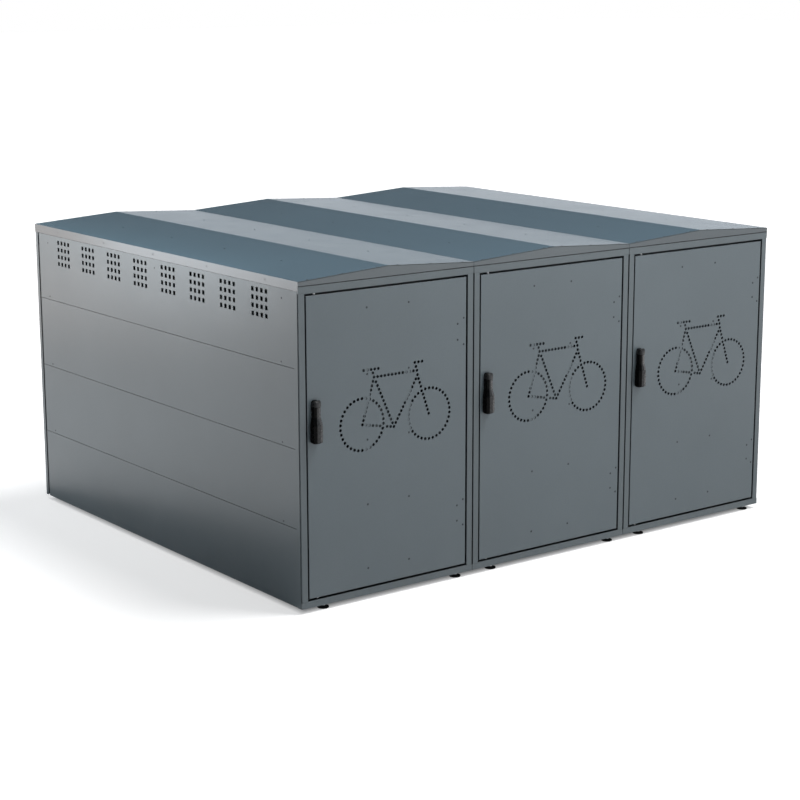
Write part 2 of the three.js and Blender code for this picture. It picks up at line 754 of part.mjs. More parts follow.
// A stack of cassettes on one side, numbered from the bottom
function sideGroup(side) {
  const walls = new THREE.Group();
  const breaks = [0, ...cassetteShares.map((share) => share * wallTop), wallTop];
  const onRight = side === 'right';
  const x = onRight ? lockerWidth - wallX : wallX;
  const y = onRight ? wallFront : wallBack;
  for (let i = 1; i < breaks.length; i += 1) {
    const top = i === breaks.length - 1;
    const low = breaks[i - 1] + (i === 1 ? 0 : cassetteSeam / 2);
    const high = breaks[i] - (top ? 0 : cassetteSeam / 2);
    const panel = geometryOf(sideCassette(high - low, top, onRight));
    const turn = (onRight ? 1 : -1) * (Math.PI / 2);
    walls.add(mesh(`side_cassette_${side}_${i}`, panel, paint, [x, y, low], turn));
  }
  return walls;
}

// The whole row, its origin on the floor at the middle of its outer box
const row = new THREE.Group();
row.name = 'bicycle_locker';
const frontY = (lowerFront - lockerDepth) / 2;
for (let i = 0; i < lockerCount; i += 1) {
  const locker = new THREE.Group();
  const number = i + 1;
  const first = i === 0;
  const last = i === lockerCount - 1;
  locker.position.set((i - lockerCount / 2) * lockerWidth, frontY, footHeight);
  locker.add(mesh(`front_frame_${number}`, geometryOf(frontFrame(first, last)), paint));
  locker.add(mesh(`back_panel_${number}`, shapes.back, paint));
  locker.add(mesh(`roof_${number}`, geometryOf(roof(first, last)), roofPaint));
  if (first) locker.add(sideGroup('left'));
  if (last) locker.add(sideGroup('right'));
  if (!last) locker.add(mesh(`partition_${number}`, shapes.partition, paint, [lockerWidth, 0, 0]));
  locker.add(doorGroup(number));
  locker.add(feetGroup(number));
  row.add(locker);
}

export default row;
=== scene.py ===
"""A row of three bicycle lockers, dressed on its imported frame."""
import math
import bmesh
import bpy
from mathutils import Matrix, Vector
from mathutils.geometry import delaunay_2d_cdt

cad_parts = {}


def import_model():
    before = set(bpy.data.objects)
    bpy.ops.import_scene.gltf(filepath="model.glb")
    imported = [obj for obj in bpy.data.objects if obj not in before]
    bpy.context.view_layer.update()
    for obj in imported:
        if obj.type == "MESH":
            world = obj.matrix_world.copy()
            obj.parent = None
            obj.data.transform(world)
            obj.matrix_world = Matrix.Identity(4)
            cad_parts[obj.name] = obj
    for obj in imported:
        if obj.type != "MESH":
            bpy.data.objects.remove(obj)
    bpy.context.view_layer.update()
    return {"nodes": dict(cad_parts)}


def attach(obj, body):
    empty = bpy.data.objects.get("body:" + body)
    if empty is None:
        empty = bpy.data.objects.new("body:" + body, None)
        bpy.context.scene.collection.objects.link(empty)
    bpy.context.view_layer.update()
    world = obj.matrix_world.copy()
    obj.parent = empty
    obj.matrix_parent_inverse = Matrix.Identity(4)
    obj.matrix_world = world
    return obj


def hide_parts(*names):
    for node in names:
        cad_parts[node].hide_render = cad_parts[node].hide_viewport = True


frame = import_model()
scene = bpy.context.scene
nodes = frame["nodes"]

# Sizes in millimetres from each locker's front left bottom corner: x across, y in depth, z up
MM = 0.001
LOCKERS = (1, 2, 3)
WIDTH, DEPTH = 800, 2034
FRONT_Y, FOOT_HEIGHT = -1000.5, 20
DOOR_X, DOOR_Z, DOOR_DEPTH, SHEET = (35, 763.5), (34.2, 1156.8), 22, 1.5
DOORWAY_Z, ROD_TIP_GAP = (26, 1165), 1.6
HANDLE_BORE, HINGE_NOTCH = 6.4, 13.5
MESH_GRID_X, MESH_GRID_Z, GRID_CLEARANCE = range(60, 750, 60), range(60, 1150, 60), 14
PIVOT_X, PIVOT_Y, HINGES = 750, 11.5, {"upper": 951.5, "lower": 243.5}
HANDLE_X, HANDLE_Z, TILT_Y = 66, 765, -15.1
ROD_OFFSET, ROD_Y, ROD_R = 12, 12.6, 4
EAVE, RIDGE_RISE, FASCIA_Z = 1211, 23, 1176.5
WALL_INSET, FASCIA_INSET, ROOF_GAP, SHADOW_BEAD_INSET = 2.4, 0.6, 0.4, 4

# Rivets: rows, columns, head radius and height
STIFFENER_RIVETS_X = (301, 492)
STIFFENER_RIVETS_Z = (1089, 842.5, 596, 349.5, 103)
LEAF_RIVETS = ((723, 30.5), (752, 50.5))
ROOF_RIVETS_Y, ROOF_END_SHARES, ROOF_END_INSET = (403, 806, 1209, 1612), (0.06, 0.25, 0.44), 9
SIDE_RIVETS_Y, SIDE_TOP_RIVETS_Z, SIDE_RIVETS_Z = (107, 1010, 1921), 1140, (907, 609, 311)
SIDE_END_RIVETS_Y = (115, 1921)
FASCIA_RIVETS_Y, FASCIA_RIVETS_Z = (210, 612, 1015, 1417, 1820), 1194
DOOR_RIVET, ROOF_RIVET, SIDE_RIVET, FASCIA_RIVET = (4.2, 1.1), (3.4, 1.0), (3.6, 1.1), (3.8, 0.3)
RIVET_SINK = 0.3

# Swing handle: half widths, reaches from the cross pin, and depths from the door
NECK_HALF, GRIP_HALF, BASE_TOP, BASE_FOOT = 14, 19, 12, 145
SHOULDER_HIGH, SHOULDER_LOW, LEVER_BACK, HEAD_RADIUS, LIT_FACET = -52, -79, -3.1, 12.0, 14
BOSS_X, COVER_DROP, BASE_SCREWS_Z, BASE_SCREW_Y = 13.2, 84, (-66, -124), -2.65

# Lock: the cam's pins and the slots that they drive
CAM_PIN = 14 * math.sqrt(0.5)
SLOT_HALF, SLOT_END, SLOT_RIM, ROD_PLATE, ROD_PLATE_Y = 3.8, 17.8, 3.5, 3, 8.4

# Hinge leaves
LEAF_FACE_Y, LEAF_SHEET, EAR_Z, EAR_HEIGHT, TAIL_SINK = 1.8, 2.5, 12.4, 4, 0.1

# Levelling feet
FEET = [("front_left", 115, 30), ("front_right", 738, 30),
        ("rear_left", 115, 2004), ("rear_right", 738, 2004)]
THREAD_LOW, THREAD_RISE, THREAD_TURNS = 19.6, 14, 9

# Camera, in metres
LENS = 87.763
CAMERA_AT = (-4.98806, -6.64799, 2.30879)
CAMERA_RIGHT = (0.79948609, -0.60068021, -0.00229609)
CAMERA_UP = (0.13166183, 0.1715056, 0.97634573)


def corner(number):
    """The front left bottom corner of a locker, in the row's frame."""
    return Vector(((number - 1 - len(LOCKERS) / 2) * WIDTH, FRONT_Y, FOOT_HEIGHT))


# Materials
def fill_ramp(node, stops):
    """A colour ramp's stops, each a place and a colour or a grey."""
    elements = node.color_ramp.elements
    while len(elements) < len(stops):
        elements.new(0.5)
    for element, (position, value) in zip(elements, stops):
        element.position = position
        element.color = (*value, 1) if isinstance(value, tuple) else (value, value, value, 1)


class Nodes:
    """A short way to build one material's node tree."""

    def __init__(self, name):
        self.material = bpy.data.materials.new(name)
        self.material.use_nodes = True
        self.tree = self.material.node_tree
        self.surface = self.tree.nodes["Principled BSDF"]

    def add(self, kind, **settings):
        node = self.tree.nodes.new(kind)
        for key, value in settings.items():
            setattr(node, key, value)
        return node

    def link(self, source, target):
        self.tree.links.new(source, target)

    def noise(self, scale, detail, stretch=(1, 1, 1)):
        place = self.add("ShaderNodeTexCoord")
        mapping = self.add("ShaderNodeMapping")
        mapping.inputs["Scale"].default_value = stretch
        texture = self.add("ShaderNodeTexNoise")
        texture.inputs["Scale"].default_value = scale
        texture.inputs["Detail"].default_value = detail
        self.link(place.outputs["Object"], mapping.inputs["Vector"])
        self.link(mapping.outputs["Vector"], texture.inputs["Vector"])
        return texture.outputs["Fac"]

    def ramp(self, source, stops):
        ramp = self.add("ShaderNodeValToRGB")
        fill_ramp(ramp, stops)
        self.link(source, ramp.inputs["Fac"])
        return ramp.outputs["Color"]

    def math(self, operation, first, second):
        """A math node whose inputs are sockets or numbers."""
        node = self.add("ShaderNodeMath", operation=operation)
        for socket, value in zip(node.inputs, (first, second)):
            if isinstance(value, (int, float)):
                socket.default_value = value
            else:
                self.link(value, socket)
        return node.outputs["Value"]

    def spread(self, value, start, end, low, high):
        """A value carried from one range to another, held at its ends."""
        node = self.add("ShaderNodeMapRange")
        limits = {"From Min": start, "From Max": end, "To Min": low, "To Max": high}
        for key, number in limits.items():
            node.inputs[key].default_value = number
        self.link(value, node.inputs["Value"])
        return node.outputs["Result"]

    def place(self):
        """The X, Y and Z of the point that is shaded."""
        where = self.add("ShaderNodeTexCoord")
        split = self.add("ShaderNodeSeparateXYZ")
        self.link(where.outputs["Object"], split.inputs["Vector"])
        return [split.outputs[axis] for axis in "XYZ"]

    def mixed(self, factor, first, second, blend="MIX"):
        """Two colours mixed; each is a socket or a colour."""
        node = self.add("ShaderNodeMix", data_type="RGBA", blend_type=blend)
        sockets = (node.inputs[0], node.inputs[6], node.inputs[7])
        for socket, value in zip(sockets, (factor, first, second)):
            if isinstance(value, tuple):
                socket.default_value = (*value, 1)
            elif isinstance(value, (int, float)):
                socket.default_value = value
            else:
                self.link(value, socket)
        return node.outputs[2]

    def bump(self, *layers):
        """Layers of (height, strength, distance in metres), the coarse one first."""
        normal = None
        for height, strength, distance in layers:
            bump = self.add("ShaderNodeBump")
            bump.inputs["Strength"].default_value = strength
            bump.inputs["Distance"].default_value = distance
            self.link(height, bump.inputs["Height"])
            if normal:
                self.link(normal, bump.inputs["Normal"])
            normal = bump.outputs["Normal"]
        self.link(normal, self.surface.inputs["Normal"])


def srgb(r, g, b):
    """A colour as seen on screen, 0 to 255, in linear light."""
    def linear(value):
        value /= 255
        return value / 12.92 if value <= 0.04045 else ((value + 0.055) / 1.055) ** 2.4
    return linear(r), linear(g), linear(b)


def shade(colour, factor):
    return tuple(channel * factor for channel in colour)


def powder_coat(name, colour, roughness, dust=0.0, upward=None, waves=0.12):
    """Semi-gloss powder coat: faint mottling, orange peel, painted shade in joints and crevices,
    dust at the foot; faces that point up can take a painted tint of light from above.
    """
    n = Nodes(name)
    tone = n.ramp(n.noise(2.3, 4.0), [(0.3, shade(colour, 0.955)), (0.72, shade(colour, 1.045))])
    # Faces that point up blend towards the upward colour: a painted tint of light from above.
    if upward:
        painted_sky_tint = n.ramp(n.noise(2.9, 4.0),
                           [(0.3, shade(upward, 0.95)), (0.72, shade(upward, 1.05))])
        normal = n.add("ShaderNodeSeparateXYZ")
        n.link(n.add("ShaderNodeNewGeometry").outputs["Normal"], normal.inputs["Vector"])
        tone = n.mixed(n.spread(normal.outputs["Z"], 0.6, 0.9, 0.0, 1.0), tone, painted_sky_tint)
    fine = n.ramp(n.noise(420.0, 2.0), [(0.35, 0.93), (0.65, 1.07)])
    tone = n.mixed(0.6, tone, fine, "MULTIPLY")
    # Ambient occlusion darkens the colour in joints, gaps and recesses: painted shade.
    crevice = n.add("ShaderNodeAmbientOcclusion", samples=6, only_local=False)
    crevice.inputs["Distance"].default_value = 0.028
    painted_crevice_shade = n.ramp(crevice.outputs["AO"], [(0.28, 0.02), (0.72, 1.0)])
    tone = n.mixed(1.0, tone, painted_crevice_shade, "MULTIPLY")
    if dust:
        patch = n.ramp(n.noise(9.0, 5.0, (1, 1, 0.5)), [(0.4, 0.0), (0.75, 1.0)])
        amount = n.math("MULTIPLY", n.spread(n.place()[2], 0.03, 0.30, dust, 0.0), patch)
        tone = n.mixed(amount, tone, srgb(150, 146, 138))
    n.link(tone, n.surface.inputs["Base Color"])
    rough = n.ramp(n.noise(6.5, 4.0), [(0.3, roughness * 0.95), (0.7, roughness * 1.06)])
    n.link(rough, n.surface.inputs["Roughness"])
    n.bump((n.noise(1.1, 2.0), waves, 0.004), (n.noise(260.0, 2.0), 0.10, 0.0004))
    return n.material


def steel(name, colour, roughness, stretch=(1, 1, 1), metallic=1.0):
    """Zinc-plated steel: spangled colour, streaked roughness."""
    n = Nodes(name)
    spangle = n.ramp(n.noise(60.0, 3.0, stretch),
                     [(0.3, shade(colour, 0.78)), (0.7, shade(colour, 1.1))])
    n.link(spangle, n.surface.inputs["Base Color"])
    rough = n.ramp(n.noise(140.0, 3.0, stretch), [(0.3, roughness - 0.08), (0.7, roughness + 0.1)])
    n.link(rough, n.surface.inputs["Roughness"])
    n.surface.inputs["Metallic"].default_value = metallic
    n.bump((n.noise(500.0, 2.0, stretch), 0.15, 0.0003))
    return n.material


def moulded(name, colour, roughness, grain, gloss=0.4, painted_highlight=None):
    """Moulded plastic or rubber: a fine spark-eroded grain, uneven gloss, and a painted highlight
    that makes the front-right facet pale and glossier.
    """
    n = Nodes(name)
    tone = n.ramp(n.noise(35.0, 4.0), [(0.3, shade(colour, 0.8)), (0.7, shade(colour, 1.25))])
    n.surface.inputs["Specular IOR Level"].default_value = gloss
    if painted_highlight:
        # The front-right facet, picked by its normal, gets a pale painted highlight in its colour
        # and more gloss.
        normal = n.add("ShaderNodeSeparateXYZ")
        n.link(n.add("ShaderNodeTexCoord").outputs["Normal"], normal.inputs["Vector"])
        facet = n.math("MULTIPLY", n.spread(normal.outputs["X"], -0.35, 0.2, 0.0, 1.0),
                       n.spread(normal.outputs["Y"], -0.85, -0.6, 1.0, 0.0))
        tone = n.mixed(facet, tone, painted_highlight)
        n.link(n.spread(facet, 0.0, 1.0, gloss, 0.4), n.surface.inputs["Specular IOR Level"])
    n.link(tone, n.surface.inputs["Base Color"])
    rough = n.ramp(n.noise(90.0, 3.0), [(0.3, roughness - 0.05), (0.7, roughness + 0.07)])
    n.link(rough, n.surface.inputs["Roughness"])
    n.bump((n.noise(1500.0, 2.0), grain, 0.0003))
    return n.material


body_paint = powder_coat("body_paint", srgb(98, 107, 111), roughness=0.30, dust=0.06)
door_paint = powder_coat("door_paint", srgb(101, 111, 116), roughness=0.32, dust=0.05)
# The roof's up-facing slopes take a painted bluish tint of light from above.
roof_paint = powder_coat("roof_paint", srgb(94, 101, 105), roughness=0.17,
                         upward=srgb(75, 103, 116), waves=0.02)
zinc = steel("galvanised_steel", (0.60, 0.62, 0.64), roughness=0.34)
zinc_bar = steel("galvanised_bar", (0.80, 0.81, 0.82), roughness=0.30,
                 stretch=(1, 1, 0.08), metallic=0.35)
rivet_paint = powder_coat("rivet_paint", srgb(48, 54, 58), roughness=0.5)
rivet_core = steel("rivet_mandrel", (0.10, 0.105, 0.11), roughness=0.5)
handle_plastic = moulded("handle_plastic", srgb(13, 13, 13), roughness=0.25, grain=0.08, gloss=0.06)
# The grip and the cap carry a painted highlight on their front-right facet.
handle_grip = moulded("handle_grip", srgb(12, 12, 12), roughness=0.25, grain=0.08, gloss=0.06,
                      painted_highlight=srgb(54, 54, 55))
handle_cap = moulded("handle_cap", srgb(40, 40, 41), roughness=0.4, grain=0.15, gloss=0.2,
                     painted_highlight=srgb(50, 50, 51))
# A dark finish for the beads that stand in for shadow lines under the roof's edges: painted shadow.
painted_shadow_bead = moulded("painted_shadow_bead", srgb(30, 31, 33), roughness=0.6, grain=0.2)
foot_rubber = moulded("foot_rubber", srgb(24, 24, 24), roughness=0.75, grain=0.35)

PAINTED = {
    "front_frame": body_paint, "back_panel": body_paint, "partition": body_paint,
    "side_cassette": body_paint, "roof": roof_paint, "door_stiffener": door_paint,
}
for name, node in nodes.items():
    for start, finish in PAINTED.items():
        if name.startswith(start):
            node.data.materials.clear()
            node.data.materials.append(finish)


# Mesh helpers
def piece(name, parts, body, replaced=(), smooth_angle=32.0):
    """One object from bmesh parts, each (bmesh, material), riding on a body."""
    joined = bmesh.new()
    materials = []
    for part, finish in parts:
        if finish not in materials:
            materials.append(finish)
        index = materials.index(finish)
        for face in part.faces:
            face.material_index = index
        carrier = bpy.data.meshes.new("carrier")
        part.to_mesh(carrier)
        joined.from_mesh(carrier)
        bpy.data.meshes.remove(carrier)
        part.free()
    limit = math.radians(smooth_angle)
    for face in joined.faces:
        face.smooth = True
    for edge in joined.edges:
        sharp = len(edge.link_faces) != 2 or edge.calc_face_angle(math.pi) > limit
        edge.smooth = not sharp
    mesh = bpy.data.meshes.new(name)
    joined.to_mesh(mesh)
    joined.free()
    for finish in materials:
        mesh.materials.append(finish)
    thing = bpy.data.objects.new(name, mesh)
    scene.collection.objects.link(thing)
    if replaced:
        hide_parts(*replaced)
    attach(thing, body)


def moved(part, number, offset):
    """A part drawn in millimetres round a point of a locker, put in the row's frame in metres."""
    bmesh.ops.translate(part, verts=part.verts, vec=corner(number) + Vector(offset))
    bmesh.ops.scale(part, verts=part.verts, vec=(MM, MM, MM))
    return part


def loft(rings):
    """A closed skin over rings of points that all have the same count."""
    part = bmesh.new()
    rows = [[part.verts.new(point) for point in ring] for ring in rings]
    count = len(rows[0])
    for low, high in zip(rows, rows[1:]):
        for i in range(count):
            j = (i + 1) % count
            part.faces.new((low[i], low[j], high[j], high[i]))
    part.faces.new(list(reversed(rows[0])))
    part.faces.new(rows[-1])
    bmesh.ops.recalc_face_normals(part, faces=part.faces)
    return part


def circle(radius, sides):
    return [(radius * math.cos(2 * math.pi * i / sides),
             radius * math.sin(2 * math.pi * i / sides)) for i in range(sides)]


AXES = {
    "x": lambda a, b, along: (along, a, b),
    "y": lambda a, b, along: (b, along, a),
    "z": lambda a, b, along: (a, b, along),
}


def turned(profile, axis, sides):
    """A profile of (radius, height) turned round an axis."""
    place = AXES[axis]
    rings = [[place(a, b, height) for a, b in circle(max(radius, 0.01), sides)]
             for radius, height in profile]
    return loft(rings)


def plate(outline, holes, thickness, front=0.0, extra=()):
    """A flat plate drawn in x and z with convex holes, its front face at y = front."""
    loops = [outline, *holes]
    points = [Vector(point) for loop in loops for point in loop]
    edges, start = [], 0
    for loop in loops:
        edges += [(start + i, start + (i + 1) % len(loop)) for i in range(len(loop))]
        start += len(loop)
    points += [Vector(point) for point in extra]
    flat, _, triangles, *_ = delaunay_2d_cdt(points, edges, [], 0, 1e-4)

    def inside(point, loop):
        hit = False
        for (ax, az), (bx, bz) in zip(loop, [*loop[1:], loop[0]]):
            if (az > point[1]) != (bz > point[1]):
                hit ^= point[0] < ax + (point[1] - az) * (bx - ax) / (bz - az)
        return hit

    boxes = [(min(p[0] for p in loop), max(p[0] for p in loop),
              min(p[1] for p in loop), max(p[1] for p in loop), loop) for loop in holes]
    part = bmesh.new()
    front_row = [part.verts.new((x, front, z)) for x, z in flat]
    back_row = [part.verts.new((x, front + thickness, z)) for x, z in flat]
    for triangle in triangles:
        centre = sum((flat[i] for i in triangle), Vector((0, 0))) / 3
        in_hole = any(l < centre[0] < r and d < centre[1] < u and inside(centre, loop)
                      for l, r, d, u, loop in boxes)
        if in_hole or not inside(centre, outline):
            continue
        part.faces.new([front_row[i] for i in triangle])
        part.faces.new([back_row[i] for i in reversed(triangle)])
    pairs = dict(zip(front_row, back_row))
    for edge in [e for e in part.edges if len(e.link_faces) == 1 and e.verts[0] in pairs]:
        first, second = edge.verts
        part.faces.new((first, second, pairs[second], pairs[first]))
    bmesh.ops.delete(part, geom=[v for v in part.verts if not v.link_faces], context="VERTS")
    bmesh.ops.recalc_face_normals(part, faces=part.faces)
    return part


def rounded(points, radius, steps=4):
    """An outline with its corners rounded, the radius cut to what each corner allows."""
    out = []
    count = len(points)
    for i in range(count):
        a, b, c = (Vector(points[(i + k) % count]) for k in (-1, 0, 1))
        to_a, to_c = a - b, c - b
        half = to_a.angle(to_c) / 2
        reach = min(radius / math.tan(half), to_a.length * 0.45, to_c.length * 0.45)
        start = b + to_a.normalized() * reach
        end = b + to_c.normalized() * reach
        for step in range(steps + 1):
            t = step / steps
            out.append(tuple(start * (1 - t) ** 2 + b * 2 * t * (1 - t) + end * t ** 2))
    return out


def rectangle(x, z):
    return [(x[0], z[0]), (x[1], z[0]), (x[1], z[1]), (x[0], z[1])]


def shifted(points, dx, dz):
    return [(x + dx, z + dz) for x, z in points]


# Door skin
def pictogram():
    """The places of the round holes that draw a bicycle."""
    rear_hub, hub_z, base, wheel = 277, 656, 310, 97.5
    wheel_dots, pitch, least_share = 34, 16.45, 0.77
    axle, bracket = (0.0033, -0.0031), (0.4689, -0.0897)
    seat, head = (0.177, 0.552), (0.8166, 0.5538)
    saddle, grips = ((0.0287, 0.65), (0.2412, 0.6475)), ((0.7838, 0.6543), (0.8938, 0.656))
    post, stem, stay_foot = (0.161, 0.603), (0.8, 0.603), (0.4717, -0.0922)
    seat_tube, down_tube, fork = (0.2063, 0.4915), (0.7985, 0.45), ((0.8237, 0.4988), (0.9948, 0))
    dots = []

    def place(share):
        return rear_hub + share[0] * base, hub_z + share[1] * base

    def add(dot):
        if all(math.hypot(o[0] - dot[0], o[1] - dot[1]) > pitch * least_share for o in dots):
            dots.append(dot)

    def line(from_share, to_share):
        a, b = place(from_share), place(to_share)
        steps = max(1, round(math.hypot(b[0] - a[0], b[1] - a[1]) / pitch))
        for i in range(steps + 1):
            add((a[0] + (b[0] - a[0]) * i / steps, a[1] + (b[1] - a[1]) * i / steps))

    for hub in (place((0, 0)), place((1, 0))):
        for i in range(wheel_dots):
            angle = 2 * math.pi * (i + 0.5) / wheel_dots
            add((hub[0] + wheel * math.cos(angle), hub[1] + wheel * math.sin(angle)))
    for a, b in [saddle, (post, post), (seat, head), grips, (stem, stem), (seat_tube, bracket),
                 (axle, seat), (axle, stay_foot), (bracket, down_tube), fork]:
        line(a, b)
    return dots


DOTS, DOT_RADIUS = pictogram(), 5.9
FOLD = [(SHEET * (1 - math.sin(a)), SHEET * (1 - math.cos(a)))
        for a in (math.radians(15 * k) for k in range(7))]


def fold_strip(side, start, end, deep, mitred):
    """The folded edge along one side of the door, from one place along it to another."""
    profile = FOLD + ([(0, DOOR_DEPTH), (SHEET, DOOR_DEPTH)] if deep else []) + [(SHEET, SHEET)]
    (left, right), (low, high) = DOOR_X, DOOR_Z
    rings = []
    for along, mitre in zip((start, end), mitred):
        ring = []
        for inset, y in profile:
            run = along + (inset if mitre > 0 else -inset if mitre < 0 else 0)
            point = {"left": (left + inset, y, run), "right": (right - inset, y, run),
                     "bottom": (run, y, low + inset), "top": (run, y, high - inset)}[side]
            ring.append(point)
        rings.append(ring)
    return loft(rings)


def door_skin(number):
    (left, right), (low, high) = DOOR_X, DOOR_Z
    outline = rectangle((left + SHEET, right - SHEET), (low + SHEET, high - SHEET))
    holes = [shifted(circle(DOT_RADIUS, 20), x, z) for x, z in DOTS]
    holes.append(shifted(circle(HANDLE_BORE, 24), HANDLE_X, HANDLE_Z))
    grid = [(x, z) for x in MESH_GRID_X for z in MESH_GRID_Z]
    clear = [g for g in grid if all(math.hypot(g[0] - x, g[1] - z) > GRID_CLEARANCE
                                    for x, z in [*DOTS, (HANDLE_X, HANDLE_Z)])]
    parts = [plate(outline, holes, SHEET, 0.0, clear)]
    notches = [HINGES[level] + end * HINGE_NOTCH for level in ("lower", "upper") for end in (-1, 1)]
    breaks = [low, *notches, high]
    for i, (a, b) in enumerate(zip(breaks, breaks[1:])):
        ends = (1 if i == 0 else 0, -1 if i == len(breaks) - 2 else 0)
        parts.append(fold_strip("right", a, b, i % 2 == 0, ends))
    parts.append(fold_strip("left", low, high, True, (1, -1)))
    parts.append(fold_strip("bottom", left, right, True, (1, -1)))
    parts.append(fold_strip("top", left, right, True, (1, -1)))
    parts = [(moved(part, number, (0, 0, 0)), door_paint) for part in parts]
    piece(f"door_panel_{number}", parts, f"door_{number}",
          [f"door_skin_{number}"], 50.0)


# Rivets
def rivet(radius, height):
    """A blind rivet's domed head and its sunk mandrel, standing on z = 0."""
    bore = radius * 0.36
    dome = [(radius, -RIVET_SINK), (radius, height * 0.18), (radius * 0.9, height * 0.5),
            (radius * 0.68, height * 0.86), (bore * 1.25, height), (bore, height * 0.86),
            (bore * 0.92, height * 0.3)]
    core = [(bore * 0.95, 0.0), (bore * 0.95, height * 0.42), (bore * 0.4, height * 0.55)]
    return turned(dome, "z", 14), turned(core, "z", 10)


def rivet_row(name, body, spots, size):
    """Rivets of one size at spots of (number, point, outward direction)."""
    parts = []
    for number, point, outward in spots:
        turn = Vector((0, 0, 1)).rotation_difference(Vector(outward)).to_matrix().to_4x4()
        for part, finish in zip(rivet(*size), (rivet_paint, rivet_core)):
            bmesh.ops.transform(part, matrix=turn, verts=part.verts)
            parts.append((moved(part, number, point), finish))
    piece(name, parts, body, (), 40.0)


def door_rivets(number):
    spots = [(x, z) for x in STIFFENER_RIVETS_X for z in STIFFENER_RIVETS_Z]
    for height in HINGES.values():
        for x, dz in LEAF_RIVETS:
            spots += [(x, height - dz), (x, height + dz)]
    rivet_row(f"door_rivets_{number}", f"door_{number}",
              [(number, (x, 0, z), (0, -1, 0)) for x, z in spots], DOOR_RIVET)


def roof_rivets(number):
    slope = math.atan2(RIDGE_RISE, WIDTH / 2)
    spots = []
    for side, x in ((-1, WIDTH / 4), (1, WIDTH * 3 / 4)):
        normal = (side * math.sin(slope), 0, math.cos(slope))
        for y in ROOF_RIVETS_Y:
            spots.append((number, (x, y, EAVE + RIDGE_RISE / 2), normal))
        for x_share in ROOF_END_SHARES:
            across = WIDTH * (x_share if side < 0 else 1 - x_share)
            z = EAVE + RIDGE_RISE * 2 * x_share
            spots.append((number, (across, DEPTH - ROOF_END_INSET, z), normal))
            spots.append((number, (across, ROOF_END_INSET, z), normal))
    rivet_row(f"roof_rivets_{number}", "locker", spots, ROOF_RIVET)


def side_rivets(side):
    number, out = (1, -1) if side == "left" else (3, 1)
    outer, fascia = ((WIDTH - inset if out > 0 else inset) for inset in (WALL_INSET, FASCIA_INSET))
    spots = [(number, (outer, y, SIDE_TOP_RIVETS_Z), (out, 0, 0)) for y in SIDE_RIVETS_Y]
    spots += [(number, (outer, y, z), (out, 0, 0))
              for y in SIDE_END_RIVETS_Y for z in SIDE_RIVETS_Z]
    rivet_row(f"side_rivets_{side}", "locker", spots, SIDE_RIVET)
    spots = [(number, (fascia, y, FASCIA_RIVETS_Z), (out, 0, 0)) for y in FASCIA_RIVETS_Y]
    rivet_row(f"fascia_rivets_{side}", "locker", spots, FASCIA_RIVET)


def fascia_shadow_bead(side):
    """A dark bead under the edge of the roof's fascia, standing in for the shadow line there: a
    painted shadow.
    """
    number, wall, out = (1, WALL_INSET, -1) if side == "left" else (3, WIDTH - WALL_INSET, 1)
    low, high = FASCIA_Z - 1.5, FASCIA_Z - 0.1
    middle, half = (low + high) / 2, (high - low) / 2
    profile = [(wall, low)]
    for k in range(7):
        angle = math.radians(30 * k - 90)
        swell = 0.2 + 0.9 * math.cos(angle)
        profile.append((wall + out * swell, middle + half * math.sin(angle)))
    profile.append((wall, high))
    bead = loft([[(x, y, z) for x, z in profile] for y in (SHADOW_BEAD_INSET, DEPTH - SHADOW_BEAD_INSET)])
    piece(f"fascia_shadow_bead_{side}", [(moved(bead, number, (0, 0, 0)), painted_shadow_bead)],
          "locker")


def gable_shadow_bead(number):
    """A dark bead along the sheet's edge over the front gable, standing in for the shadow line
    there: a painted shadow.
    """
    left = FASCIA_INSET if number == LOCKERS[0] else ROOF_GAP
    right = WIDTH - (FASCIA_INSET if number == LOCKERS[-1] else ROOF_GAP)
    line = [(left, EAVE), (WIDTH / 2, EAVE + RIDGE_RISE), (right, EAVE)]
    rings = []
    for x, z in line:
        rings.append([(x, y, z - drop) for y, drop in
                      ((0.3, 0.4), (-0.35, 0.7), (-0.6, 1.4), (-0.35, 2.1), (0.3, 2.4))])
    piece(f"gable_shadow_bead_{number}", [(moved(loft(rings), number, (0, 0, 0)), painted_shadow_bead)],
          "locker")


# Swing handle
def handle_ring(z, half, back, front, chamfer):
    """A level section through the handle: flat back, straight sides, chamfered front, rounded."""
    facet = min(LIT_FACET, half * 0.95)
    points = [(-half, back), (half, back), (half, front + chamfer * 0.8),
              (half - facet, front), (chamfer - half, front), (-half, front + chamfer)]
    return [(x, y, z) for x, y in rounded(points, min(2.2, chamfer * 0.45), steps=3)]


def lever_sections():
    """Sections from the foot of the grip to the round head: z, half width, back, front, chamfer."""
    back = LEVER_BACK
    sections = [(-145, 16.2, back - 0.8, -27.5, 6), (-144.2, 17.4, back, -29.4, 7),
                (-142, 18.4, back, -31.6, 8), (-138, 18.8, back, -32.6, 8.4),
                (-122, 19, back, -32.9, 8.6)]
    sections += [(-101.9, 19, back, -32.9, 8.6), (-101.6, 18.5, back, -32.2, 8.4),
                 (-100.6, 18.5, back, -32.2, 8.4), (-100.3, 19, back, -32.9, 8.6)]
    sections += [(-84, 19, back, -32.8, 8.6), (-79, 18.7, back, -32.4, 8.4),
                 (-70, 17.4, back, -30.6, 7.8), (-60, 15.6, back, -28.4, 7.2),
                 (-53, 14.3, back, -26.8, 6.8), (-49, 13.7, back, -26.1, 6.6),
                 (-30, 13.6, back, -26.0, 6.6), (-11.4, 13.6, back, -26.0, 6.6),
                 (-10.9, 13.1, back, -25.4, 6.4), (-10.1, 13.1, back, -25.4, 6.4)]
    return sections


